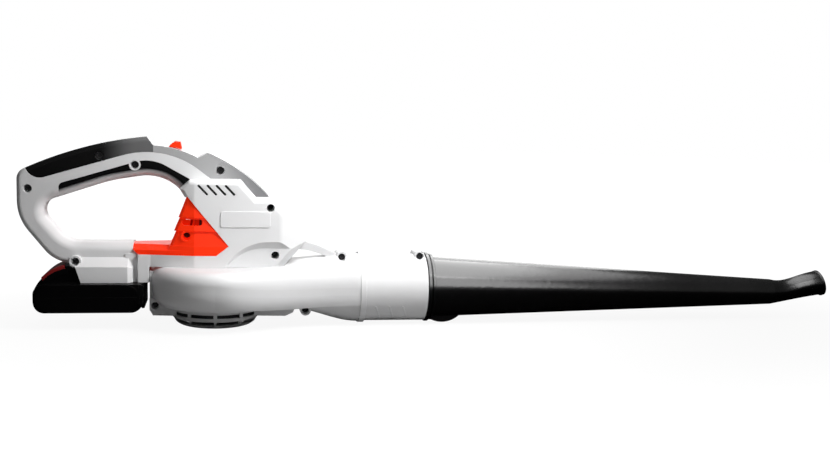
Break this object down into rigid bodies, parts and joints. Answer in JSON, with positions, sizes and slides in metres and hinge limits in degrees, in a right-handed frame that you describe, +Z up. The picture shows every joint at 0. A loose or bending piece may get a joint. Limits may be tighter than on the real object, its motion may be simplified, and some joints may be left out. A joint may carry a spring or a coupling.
{
  "type": "cordless leaf blower",
  "caption": "Handheld cordless leaf blower: loop handle, motor housing over a fan scroll, round intake grille, slide-on battery and a long tapered nozzle with an upturned mouth.",
  "frame": {"origin": "on the fan axis, in the plane that the intake grille stands on", "axes": "+X forward along the nozzle, +Z up along the fan axis, Y = 0 is the plane where the halves meet"},
  "size_m": [0.906, 0.1373, 0.198],
  "materials": {
    "shell_plastic": "fine grained light grey moulding",
    "soft_grip": "soft matt overmould",
    "grey_trim": "satin mid grey moulding",
    "orange_plastic": "satin orange red moulding",
    "grille_plastic": "matt dark grey moulding",
    "black_plastic": "satin black moulding",
    "red_plastic": "dark red moulding",
    "spring_steel": "bright wire",
    "cell_can": "wrapped cell, weight of a real cell",
    "inner_plastic": "plain black moulding",
    "nickel": "plain strip",
    "board": "green board",
    "brass_contact": "plain",
    "lead_red": "smooth sleeve",
    "lead_black": "smooth sleeve",
    "screw_steel": "blackened",
    "motor_steel": "zinc plated",
    "magnet": "ground ferrite",
    "bearing_steel": "ground",
    "carbon": "pressed carbon",
    "armature_iron": "stacked iron",
    "fan_plastic": "plain dark moulding"
  },
  "bodies": {
    "housing": {"body_right": "shell_plastic", "body_left": "shell_plastic", "grip_top": "soft_grip", "top_trim": "grey_trim", "grip_under": "soft_grip", "vent_insert": "orange_plastic", "switch_body": "inner_plastic", "scroll_right": "shell_plastic", "scroll_left": "shell_plastic", "intake_grille": "grille_plastic", "motor_mount": "inner_plastic", "motor_can": "motor_steel", "motor_screws": "screw_steel", "motor_magnets": "magnet", "motor_end_cap": "inner_plastic", "bearing_bottom": "bearing_steel", "bearing_top": "bearing_steel", "motor_brushes": "carbon", "terminal_block": "inner_plastic", "terminal_blades": "brass_contact", "lead_supply": "lead_red", "lead_motor": "lead_black", "housing_screws": "screw_steel", "scroll_screws": "screw_steel"},
    "rotor": {"motor_shaft": "bearing_steel", "armature": "armature_iron", "commutator": "brass_contact", "impeller": "fan_plastic", "impeller_nut": "screw_steel"},
    "switch": {"power_switch": "orange_plastic"},
    "battery": {"battery_case_lower": "black_plastic", "battery_case_upper": "black_plastic", "battery_cells": "cell_can", "cell_holder": "inner_plastic", "cell_straps": "nickel", "battery_board": "board", "battery_contacts": "brass_contact", "release_spring": "spring_steel"},
    "button": {"release_button": "red_plastic"},
    "nozzle": {"nozzle_tube": "black_plastic"}
  },
  "joints": [
    {"name": "fan_spin", "type": "hinge", "parent": "housing", "child": "rotor", "pos_m": [0, 0, 0.05], "axis": [0, 0, 1], "continuous": true},
    {"name": "switch_slide", "type": "slide", "parent": "housing", "child": "switch", "axis": [0.9703, 0, -0.2419], "range_m": [0, 0.007]},
    {"name": "battery_slide", "type": "slide", "parent": "housing", "child": "battery", "axis": [-1, 0, 0], "range_m": [0, 0.1]},
    {"name": "release_press", "type": "slide", "parent": "battery", "child": "button", "axis": [0.4908, 0, -0.8713], "range_m": [0, 0.0025], "stiffness_N_per_m": 600, "springref_m": -0.001, "deforming": ["release_spring"]},
    {"name": "nozzle_slide", "type": "slide", "parent": "housing", "child": "nozzle", "axis": [1, 0, 0], "range_m": [0, 0.06]}
  ]
}
